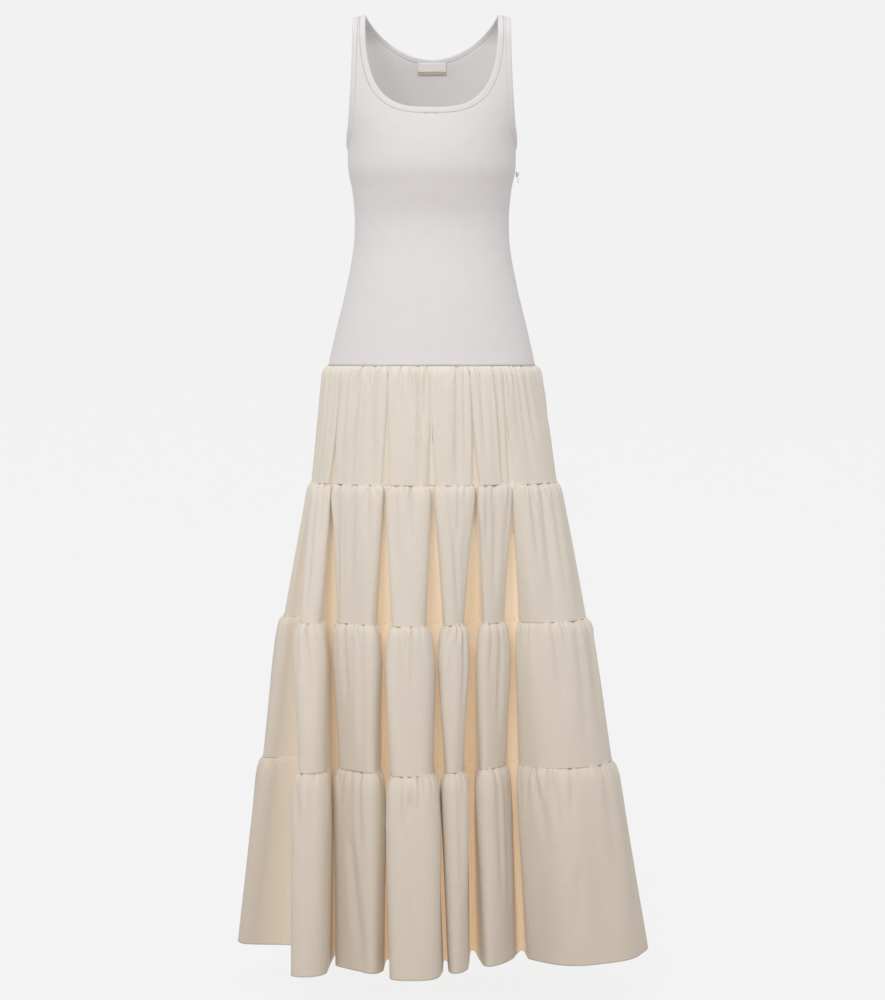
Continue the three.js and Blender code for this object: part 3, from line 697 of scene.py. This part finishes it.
def neck_loops(inset):
    """The neckline's loop at an inset, from the wearer's left shoulder across the front."""
    parts = []
    for side, hand, forward in ((-1, 1, False), (-1, -1, True), (1, -1, False), (1, 1, True)):
        turns = neck_turns(side, 60)
        x, z = neck_place(side, turns, inset)
        point = bodice_point(side, hand * x, z)
        parts.append((point if forward else point[::-1])[:-1])
    return np.concatenate(parts)


def armhole_loops(hand, inset):
    """The armhole's loop at an inset, from the shoulder down the front and up the back."""
    way = np.linspace(0, 1, 90)
    share = way ** 2 * (3 - 2 * way)
    z = (UNDERARM - inset) * (1 - share)
    x = hand * armhole_x(z, inset)
    front, back = bodice_point(-1, x, z), bodice_point(1, x, z)
    return np.concatenate([front[::-1][:-1], back[:-1]])


# Label, on the inside of the back over the neck binding, and the zip's tape
LABEL_WIDTH = 43
LABEL_TOP = -63
LABEL_HEIGHT = 13.5
LABEL_THICK = 0.5
LABEL_LIFT = 2.1
TAB_HEIGHT = 4
ZIP_TOP = -205
ZIP_BOTTOM = -512
ZIP_WIDTH = 24
ZIP_THICK = 0.8
ZIP_INSET = 1.1 + 1.5 / 2 + ZIP_THICK / 2


def back_strip(top, height):
    """A flat strip on the inside of the back."""
    rows, columns = 12, 40
    x, z = np.meshgrid(np.linspace(-0.5, 0.5, columns) * LABEL_WIDTH, np.linspace(top, top - height, rows))
    points = bodice_point(1, x.ravel(), z.ravel())
    points[:, 1] -= LABEL_LIFT
    return points, grid_faces(rows, columns), np.stack([x.ravel(), z.ravel()], -1), LABEL_THICK


def zip_strip():
    """The zip's tape, on the inside of the side seam."""
    rows, columns = 120, 14
    y, z = np.meshgrid(np.linspace(-0.5, 0.5, columns) * ZIP_WIDTH, np.linspace(ZIP_TOP, ZIP_BOTTOM, rows))
    y, z = y.ravel(), z.ravel()
    depth = np.where(y < 0, SECTIONS.at("front", z), SECTIONS.at("back", z))
    x = SECTIONS.at("half", z) * np.sqrt(1 - (y / depth) ** 2) - ZIP_INSET
    return np.stack([x, y, z], -1), grid_faces(rows, columns), np.stack([y, z], -1), ZIP_THICK


# The skirt's surface


def plan_point(level, angle, out):
    """A point of a level's plan: at an angle, and out from its section by a distance."""
    turn = math.radians(angle)
    deep = level["front"] if math.sin(turn) > 0 else level["back"]
    normal = np.array([deep * math.cos(turn), -level["half"] * math.sin(turn)])
    place = np.array([level["shift"] + level["half"] * math.cos(turn), -deep * math.sin(turn)])
    return place + normal / np.linalg.norm(normal) * out


def turned(level, pair):
    """An angle of a fold at a level, between its places at the hem and at the waist."""
    return pair[1] + (pair[0] - pair[1]) * level["high"]


def hollow_floor(level, fold, mouth):
    """The two ends of the flat floor of the hollow after a fold."""
    angle = turned(level, fold["valley"])
    middle = plan_point(level, angle, -fold["depth"] * level["fold"])
    along = plan_point(level, angle + 0.5, 0) - plan_point(level, angle - 0.5, 0)
    along *= (mouth * FLOOR_SHARE + FLOOR_HALF_WIDTH) / np.linalg.norm(along)
    return middle - along, middle + along


def plan_guides(level, mouth=0):
    """The guide points of a level's plan: for each fold a wall, its face, a wall and the hollow's floor.

    mouth is how much wider the hollows open.
    """
    wider = math.degrees(mouth / 2 / level["half"])
    guides = []
    for k, fold in enumerate(FOLDS):
        start = hollow_floor(level, FOLDS[k - 1], mouth)[1]
        end, floor = hollow_floor(level, fold, mouth)
        low, high = turned(level, fold["start"]) + wider, turned(level, fold["end"]) - wider
        face = [plan_point(level, low + (high - low) * share, out * level["fold"])
                for share, out in zip(FACE_SHARES, fold["out"])]
        walls = [face[0] + (start - face[0]) * WALL_SHARE, face[4] + (end - face[4]) * WALL_SHARE]
        guides += [walls[0], *face, walls[1], end, floor]
    return np.array(guides)


def smooth_at(guides, place):
    """A smooth closed curve near its guide points, at places counted in guides."""
    i = np.floor(place + 0.5).astype(int)
    r = (place - i)[:, None]
    near = [guides[(i + k) % len(guides)] for k in (-1, 0, 1)]
    return 0.5 * (0.5 - r) ** 2 * near[0] + (0.75 - r * r) * near[1] + 0.5 * (0.5 + r) ** 2 * near[2]


def ring_normals(ring):
    """Outward directions along closed rings, the last axis of which is X and Y."""
    along = np.roll(ring, -1, axis=-2) - np.roll(ring, 1, axis=-2)
    normals = np.stack([-along[..., 1], along[..., 0]], -1)
    return normals / np.maximum(np.linalg.norm(normals, axis=-1, keepdims=True), 1e-9)


def ring_length(ring):
    """How far round the ring each point lies, and the whole length."""
    steps = np.linalg.norm(np.roll(ring, -1, axis=0) - ring, axis=1)
    return running(steps)[:-1], steps.sum()


def tier_places(tier):
    """Places of a tier's columns, evenly spread along the cloth, and the column of the right seam."""
    top, bottom = plan_guides(LEVELS[tier]), plan_guides(LEVELS[tier + 1])
    places, split = [], 0
    for start, end in ((LEFT_SEAM, RIGHT_SEAM), (RIGHT_SEAM, LEFT_SEAM + ALL_PLACES)):
        fine = np.linspace(start, end, 6000)
        curves = [smooth_at(guides, fine) for guides in (top, bottom)]
        steps = sum(np.linalg.norm(np.diff(curve, axis=0), axis=1) for curve in curves)
        run = running(steps)
        share = (end - start) / ALL_PLACES
        count = round(TIERS[tier]["columns"] * share)
        split = split or count
        places.append(np.interp(np.linspace(0, run[-1], count, endpoint=False), run, fine))
    return np.concatenate(places), split


def crease_profile(distance, width):
    """A soft groove with low ridges beside it."""
    away = np.abs(distance) / width
    return -np.exp(-away ** 1.4) + 0.35 * np.exp(-((away - 1.8) / 0.9) ** 2)


def gathers(tier, turn, down, length, settings):
    """Small uneven creases under a seam, in millimetres outwards."""
    rng = np.random.default_rng(settings.gathers.seed + tier)
    spacing = settings.gathers.spacing / MM
    deepest = settings.gathers.depth / MM
    count = int(length[0] / spacing)
    height = LEVELS[tier]["z"] - LEVELS[tier + 1]["z"]
    relief = np.zeros((len(down), len(turn)))
    below = down[:, None] * height
    for k in range(count):
        at = (k + rng.uniform(0.05, 0.95)) / count
        deep = deepest * rng.uniform(0.4, 1.0)
        reach = rng.choice([8, 14, 24, 42, 90], p=[0.2, 0.3, 0.28, 0.15, 0.07]) * rng.uniform(0.8, 1.25)
        drift = rng.normal(0, 0.12)
        width = rng.uniform(1.1, 2.0) + below * rng.uniform(0.02, 0.07)
        gap = (turn[None, :] - at + 0.5) % 1 - 0.5
        distance = gap * length[:, None] - drift * below
        near = np.exp(-(below / reach) ** 1.4) * (1 - 0.8 * np.exp(-below / 2.5))
        relief += deep * near * crease_profile(distance, width)
    return relief


def main_creases(tier, place, down, length):
    """The tier's listed creases and ridges, in millimetres outwards."""
    relief = np.zeros((len(down), len(place)))
    fine = np.append(place, place[0] + ALL_PLACES)
    turns = np.append(np.arange(len(place)), len(place)) / len(place)
    like = [{**crease, "fold": fold, "across": 1 - crease["across"], "to": 1 - crease["to"]}
            for crease in CREASES for fold in LIKE_FOLDS if LIKE_FOLDS[fold] == crease["fold"]]
    for crease in (row for row in CREASES + like if row["tier"] == tier):
        start = FOLD_INDEX[crease["fold"]] * POINTS_PER_FOLD + 1
        across = crease["across"] + (crease["to"] - crease["across"]) * down
        centre = np.interp(start + np.interp(across, FACE_SHARES, range(5)), fine, turns)
        gap = (np.arange(len(place))[None, :] / len(place) - centre[:, None] + 0.5) % 1 - 0.5
        middle = (down - crease["top"]) / (crease["bottom"] - crease["top"])
        # A crease that starts at the seam starts at its full depth
        begun = np.clip(middle * 8 + (crease["top"] == 0), 0, 1)
        fade = begun * np.clip((1 - middle) * 2.2, 0, 1)
        fade = fade * fade * (3 - 2 * fade)
        distance = gap * length[:, None]
        width = crease["width"] * (0.7 + 0.8 * np.clip(middle, 0, 1))[:, None]
        relief += crease["depth"] * fade[:, None] * crease_profile(distance, width)
    return relief


def broad_waves(tier, turn, down, length):
    """Slow uneven swells of the cloth, in millimetres outwards."""
    rng = np.random.default_rng(40 + tier)
    relief = np.zeros((len(down), len(turn)))
    for _ in range(14):
        wave = rng.integers(int(length[-1] / 220), int(length[-1] / 70))
        lean = rng.normal(0, 0.6)
        phase = rng.uniform(0, 2 * math.pi)
        size = rng.uniform(0.25, 0.75)
        swing = 2 * math.pi * wave * turn[None, :] + phase + lean * down[:, None] * 3
        relief += size * np.sin(swing) * np.sin(math.pi * np.clip(down * 0.8 + 0.1, 0, 1))[:, None]
    return relief


def tier_surface(tier, settings):
    """A tier's points, their flat places and how deep in a fold each lies, and the right seam's column."""
    top, bottom = LEVELS[tier], LEVELS[tier + 1]
    place, split = tier_places(tier)
    rows = TIERS[tier]["rows"]
    # The last row but one lies close to the edge, which keeps the edge crisp
    down = np.append(np.linspace(0, 1, rows) ** 1.6, 1)
    down[-2] = 0.992
    mouth = np.interp(down, (0, MOUTH_TURN, 1), TIERS[tier]["mouths"])[:, None, None]
    rings = [smooth_at(plan_guides(level), place) for level in (top, bottom)]
    # How far each point moves for 10 mm of a wider mouth
    wider = [smooth_at(plan_guides(level, 10), place) - ring for level, ring in zip((top, bottom), rings)]
    ring = rings[0] + (rings[1] - rings[0]) * down[:, None, None]
    ring += (wider[0] + (wider[1] - wider[0]) * down[:, None, None]) * mouth / 10
    turn = np.arange(len(place)) / len(place)
    length = np.array([ring_length(r)[1] for r in rings])
    length = length[0] + (length[1] - length[0]) * down
    fold = top["fold"] + (bottom["fold"] - top["fold"]) * down
    # The hollows stay flat where the folds are deep, and swell like the faces where they are not
    share = ((place + 1.5) / POINTS_PER_FOLD) % 1
    away = np.minimum(share, 1 - share) * POINTS_PER_FOLD
    middle = np.clip((away - 0.7) / 1.6, 0, 1)
    open_share = 1 + (middle[None, :] - 1) * np.clip(3 * fold, 0, 1)[:, None]
    swell = TIERS[tier]["puff"] * (1 - np.exp(-down / 0.03)) * (1 - down)
    relief = swell[:, None] + gathers(tier, turn, down, length, settings) * (1 - down)[:, None]
    relief += broad_waves(tier, turn, down, length) + main_creases(tier, place, down, length)
    points = ring + ring_normals(ring) * (relief * open_share)[..., None]
    z = top["z"] - SEAM_GAP / 2 + (bottom["z"] - top["z"] + SEAM_GAP) * down
    points = np.concatenate([points, np.broadcast_to(z[:, None, None], (*points.shape[:2], 1))], -1)
    if tier:
        points, z = tucked(points, z)
    around, whole = ring_length(rings[1])
    flat = np.stack(np.broadcast_arrays(around[None, :], z[:, None]), -1)
    near_fold = np.round((place + 1.5) / POINTS_PER_FOLD).astype(int) - 1
    depth = np.array([fold["depth"] for fold in FOLDS])[near_fold]
    # How deep in a fold each point lies. The linen paints a warmer shade and a glow there
    hollow = np.clip((1.9 - away) / 1.2, 0, 1) * np.clip((depth - 50) / 70, 0, 1)
    hollow = hollow[None, :] * np.clip(fold * 4, 0, 1)[:, None]
    hollow = np.concatenate([hollow[:1]] * (len(z) - len(hollow)) + [hollow])
    return points, flat, hollow, split, whole


def tucked(points, z):
    """Adds a seam allowance above a tier, inside the tier that it hangs from."""
    inward = -np.concatenate([ring_normals(points[0, :, :2]), np.zeros((points.shape[1], 1))], -1)
    above = points[0] + inward * SEAM_TUCK["inside"] + [0, 0, SEAM_TUCK["height"]]
    near = points[0] + inward * SEAM_TUCK["inside"]
    points = points.copy()
    points[0] = near
    return np.concatenate([above[None], points]), np.concatenate([[z[0] + SEAM_TUCK["height"]], z])


def nudge_ends(points):
    """Moves the first and last columns in by half a seam gap."""
    for end, inside in ((0, 1), (-1, -2)):
        step = points[:, inside] - points[:, end]
        points[:, end] += step / np.linalg.norm(step, axis=1, keepdims=True) * SEAM_GAP / 2
    return points


# Stitches


def stitch_tree(material):
    """A tree that sets small stitches along a curve."""
    tree = bpy.data.node_groups.new("stitches", "GeometryNodeTree")
    sockets = (
        ("Line", "NodeSocketGeometry"), ("Length", "NodeSocketFloat"),
        ("Spacing", "NodeSocketFloat"), ("Thread", "NodeSocketFloat"))
    for label, kind in sockets:
        tree.interface.new_socket(label, in_out="INPUT", socket_type=kind)
    tree.interface.new_socket("Stitches", in_out="OUTPUT", socket_type="NodeSocketGeometry")
    given = node(tree, "NodeGroupInput").outputs
    points = node(tree, "GeometryNodeCurveToPoints", {
        "Curve": given["Line"], "Length": given["Spacing"]}, mode="LENGTH")
    half = calculate(tree, "MULTIPLY", given["Length"], 0.5)
    thin = calculate(tree, "MULTIPLY", given["Thread"], 0.5)
    size = node(tree, "ShaderNodeCombineXYZ", {"X": thin, "Y": thin, "Z": half}).outputs[0]
    stitch = node(tree, "GeometryNodeMeshUVSphere", {
        "Segments": 6, "Rings": 5, "Radius": 1.0}).outputs["Mesh"]
    placed = node(tree, "GeometryNodeInstanceOnPoints", {
        "Points": points.outputs["Points"], "Instance": stitch, "Rotation": points.outputs["Rotation"],
        "Scale": size}).outputs["Instances"]
    real = node(tree, "GeometryNodeRealizeInstances", {"Geometry": placed}).outputs["Geometry"]
    smooth = node(tree, "GeometryNodeSetShadeSmooth", {"Geometry": real}).outputs["Geometry"]
    finished = node(tree, "GeometryNodeSetMaterial", {
        "Geometry": smooth, "Material": material}).outputs["Geometry"]
    node(tree, "NodeGroupOutput", {"Stitches": finished})
    return tree


def stitches(name, lines, tree, settings):
    """A mesh of stitches along lines of points, in millimetres. Each line is closed or open."""
    curve = bpy.data.curves.new(name + "_line", "CURVE")
    curve.dimensions = "3D"
    for points, closed in lines:
        spline = curve.splines.new("POLY")
        spline.points.add(len(points) - 1)
        spline.points.foreach_set("co", np.concatenate([points * MM, np.ones((len(points), 1))], 1).ravel())
        spline.use_cyclic_u = closed
    line = add_object(name + "_line", curve)
    modifier = line.modifiers.new("stitches", "NODES")
    modifier.node_group = tree
    sizes = settings.stitches
    values = {"Length": sizes.length, "Spacing": sizes.length + sizes.gap, "Thread": sizes.thread}
    for item in tree.interface.items_tree:
        if item.in_out == "INPUT" and item.name in values:
            modifier[item.identifier] = values[item.name]
    evaluated = line.evaluated_get(bpy.context.evaluated_depsgraph_get())
    mesh = bpy.data.meshes.new_from_object(evaluated)
    bpy.data.objects.remove(line)
    mesh.name = name
    return add_object(name, mesh)


# Camera: its place in metres, how many degrees it looks down, its lens and its shift
CAMERA = {"x": 0.016, "z": -0.4985, "down": 2.035, "lens": 91.2, "shift": -0.06}
# Lamps: their places, aims and sizes in metres, and their shares of the key light's power
LAMPS = (
    {"name": "key", "place": (-1.1, -3.2, 1.8), "aim": (0, 0, -0.4), "size": 1.8, "share": 1},
    {"name": "fill", "place": (2.6, -2.4, -0.5), "aim": (0, 0, -0.7), "size": 2.0, "share": 0.14},
)


# Operators, one for each piece or group of like pieces


class DRESS_OT_bodice(bpy.types.Operator):
    """Makes the front and back panels of the knit bodice"""

    bl_idname = "dress.bodice"
    bl_label = "Make the bodice"

    def execute(self, context):
        settings = context.scene.dress
        knit = fine_rib_knit(settings)
        for side, name in ((-1, "bodice_front"), (1, "bodice_back")):
            points, quads, places = bodice_panel(side)
            thickness = settings.cloth.knit_thickness / MM
            piece = mesh_piece("knit_" + name, points, quads, places, thickness, knit)
            stand_for(piece, name)
        return {"FINISHED"}


class DRESS_OT_bindings(bpy.types.Operator):
    """Makes the folded bindings of the neckline and the armholes, with their stitches"""

    bl_idname = "dress.bindings"
    bl_label = "Make the bindings"

    def execute(self, context):
        settings = context.scene.dress
        knit = fine_rib_knit(settings, "folded_rib_binding", turned=True)
        thread = polyester_thread(settings.cloth.knit_colour)
        tree = stitch_tree(thread)
        loops = {"neck_binding": neck_loops}
        loops["armhole_binding_left"] = lambda inset: armhole_loops(1, inset)
        loops["armhole_binding_right"] = lambda inset: armhole_loops(-1, inset)
        for name, loop in loops.items():
            width = NECK_BINDING if name == "neck_binding" else ARM_BINDING
            seam, edge = loop(width - SEAM_GAP), loop(0)
            points, quads, places, thickness = binding_loop(seam, edge)
            piece = mesh_piece("folded_" + name, points, quads, places, thickness, knit)
            stand_for(piece, name)
            line = seam + (edge - seam) * SEWN_SHARE
            lift = patch_normals(points, quads).reshape(len(seam), -1, 3)[:, 2]
            sewn = stitches(name + "_stitches", [(line + lift * BINDING_THICK * 0.36, True)], tree, settings)
            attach(sewn, "dress")
        return {"FINISHED"}


class DRESS_OT_tiers(bpy.types.Operator):
    """Makes the four gathered tiers of the skirt, each a front and a back panel"""

    bl_idname = "dress.tiers"
    bl_label = "Make the tiers"

    def execute(self, context):
        settings = context.scene.dress
        linen = plain_weave_linen(settings)
        thickness = settings.cloth.cloth_thickness / MM
        for tier in range(len(TIERS)):
            points, flat, hollow, split, whole = tier_surface(tier, settings)
            closed = np.concatenate([points, points[:, :1]], 1)
            end = flat[:, :1] + [whole, 0]
            flats = np.concatenate([flat, end], 1)
            deep = np.concatenate([hollow, hollow[:, :1]], 1)
            for part, first, last in (("front", 0, split), ("back", split, closed.shape[1] - 1)):
                name = f"tier_{tier + 1}_{part}"
                cut = slice(first, last + 1)
                patch = nudge_ends(closed[:, cut].copy())
                rows, columns = patch.shape[:2]
                piece = mesh_piece(
                    "cloth_" + name, patch.reshape(-1, 3), grid_faces(rows, columns),
                    flats[:, cut].reshape(-1, 2), thickness, linen, deep[:, cut].ravel())
                stand_for(piece, name)
        return {"FINISHED"}


class DRESS_OT_trims(bpy.types.Operator):
    """Finishes the label, its tab and the zip"""

    bl_idname = "dress.trims"
    bl_label = "Finish the label and the zip"

    def execute(self, context):
        strips = (
            ("satin_label", "neck_label", "label", "f4f2f0", 0.0004, back_strip(LABEL_TOP, LABEL_HEIGHT)),
            ("label_tape", "label_tab", "label_tab", "cbb9a6", 0.0005,
             back_strip(LABEL_TOP - LABEL_HEIGHT - SEAM_GAP, TAB_HEIGHT)),
            ("knitted_zip_tape", "zip_tape", "zip_tape", "f0ecec", 0.0006, zip_strip()),
        )
        for name, solid, slot, colour, pitch, (points, quads, places, thickness) in strips:
            piece = mesh_piece(name, points, quads, places, thickness, woven_tape(name, colour, pitch))
            stand_for(piece, solid)
        metal = enamelled_zinc()
        for name in ("zip_slider", "zip_pull"):
            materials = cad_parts[name].data.materials
            materials.clear()
            materials.append(metal)
        return {"FINISHED"}


class DRESS_OT_studio(bpy.types.Operator):
    """Makes the floor, the backdrop, the lights and the camera"""

    bl_idname = "dress.studio"
    bl_label = "Make the studio"

    def execute(self, context):
        scene = context.scene
        studio = scene.dress.studio
        self.backdrop(scene.dress)
        world = bpy.data.worlds.new("even_studio_light")
        scene.world = world
        world.use_nodes = True
        tree = world.node_tree
        direction = node(tree, "ShaderNodeTexCoord").outputs["Generated"]
        height = node(tree, "ShaderNodeSeparateXYZ", {"Vector": direction}).outputs["Z"]
        share = spread(tree, height, 0.0, 1.0, -1.0)
        colour = mixed(tree, share, with_alpha(studio.low_colour), (1, 1, 1, 1))
        tree.links.new(colour, tree.nodes["Background"].inputs["Color"])
        tree.nodes["Background"].inputs["Strength"].default_value = studio.ambient
        for lamp in LAMPS:
            self.light(studio.key, **lamp)
        data = bpy.data.cameras.new("camera")
        data.sensor_fit = "VERTICAL"
        data.sensor_height = 36
        data.lens = CAMERA["lens"]
        data.shift_y = CAMERA["shift"]
        data.clip_end = 50
        camera = add_object("camera", data)
        camera.location = (CAMERA["x"], -studio.distance, CAMERA["z"])
        camera.rotation_euler = (math.radians(90 - CAMERA["down"]), 0, 0)
        scene.camera = camera
        scene.view_settings.view_transform = "Standard"
        return {"FINISHED"}

    def light(self, key, name, place, aim, size, share):
        data = bpy.data.lights.new(name, "AREA")
        data.shape = "DISK"
        data.size = size
        data.energy = key * share
        lamp = add_object(name, data)
        lamp.location = place
        lamp.rotation_euler = (Vector(aim) - Vector(place)).to_track_quat("-Z", "Y").to_euler()

    def backdrop(self, settings):
        """One sheet of paper: the floor, a wide bend and the wall."""
        floor, bend, wall_y = -1.46, 1.6, 8.0
        profile = [(-8.0, floor), (-4.0, floor)]
        profile += [(y, floor) for y in np.linspace(-3, wall_y - bend, 6)]
        for turn in np.linspace(0, math.pi / 2, 16)[1:]:
            profile.append((wall_y - bend + bend * math.sin(turn), floor + bend * (1 - math.cos(turn))))
        profile.append((wall_y, 7.0))
        points = [(x, y, z) for y, z in profile for x in (-12.0, 12.0)]
        faces = [(2 * k, 2 * k + 1, 2 * k + 3, 2 * k + 2) for k in range(len(profile) - 1)]
        mesh = bpy.data.meshes.new("backdrop")
        mesh.from_pydata(points, [], faces)
        mesh.polygons.foreach_set("use_smooth", [True] * len(faces))
        mesh.materials.append(matt_studio_paper(settings))
        sheet = add_object("backdrop", mesh)
        # The dress is lit by the world and the lamps alone
        sheet.visible_diffuse = False
        sheet.visible_glossy = False


class DRESS_PT_panel(bpy.types.Panel):
    """The dress's settings and steps"""

    bl_idname = "DRESS_PT_panel"
    bl_label = "Maxi dress"
    bl_space_type = "VIEW_3D"
    bl_region_type = "UI"
    bl_category = "Dress"

    def draw(self, context):
        settings = context.scene.dress
        for label in ("cloth", "gathers", "stitches", "studio"):
            box = self.layout.box()
            box.label(text=label.capitalize())
            group = getattr(settings, label)
            for name in group.bl_rna.properties.keys():
                if name not in ("name", "rna_type"):
                    box.prop(group, name)
        for operator in OPERATORS:
            self.layout.operator(operator.bl_idname)


GROUPS = (ClothSettings, GatherSettings, StitchSettings, StudioSettings, DressSettings)
OPERATORS = (DRESS_OT_bindings, DRESS_OT_trims, DRESS_OT_bodice, DRESS_OT_tiers, DRESS_OT_studio)


def register():
    for item in (*GROUPS, *OPERATORS, DRESS_PT_panel):
        bpy.utils.register_class(item)
    bpy.types.Scene.dress = PointerProperty(type=DressSettings)


def unregister():
    del bpy.types.Scene.dress
    for item in reversed((*GROUPS, *OPERATORS, DRESS_PT_panel)):
        bpy.utils.unregister_class(item)


def main():
    register()
    bpy.ops.dress.bindings()
    bpy.ops.dress.trims()
    bpy.ops.dress.bodice()
    bpy.ops.dress.tiers()
    bpy.ops.dress.studio()


if __name__ == "__main__":
    main()
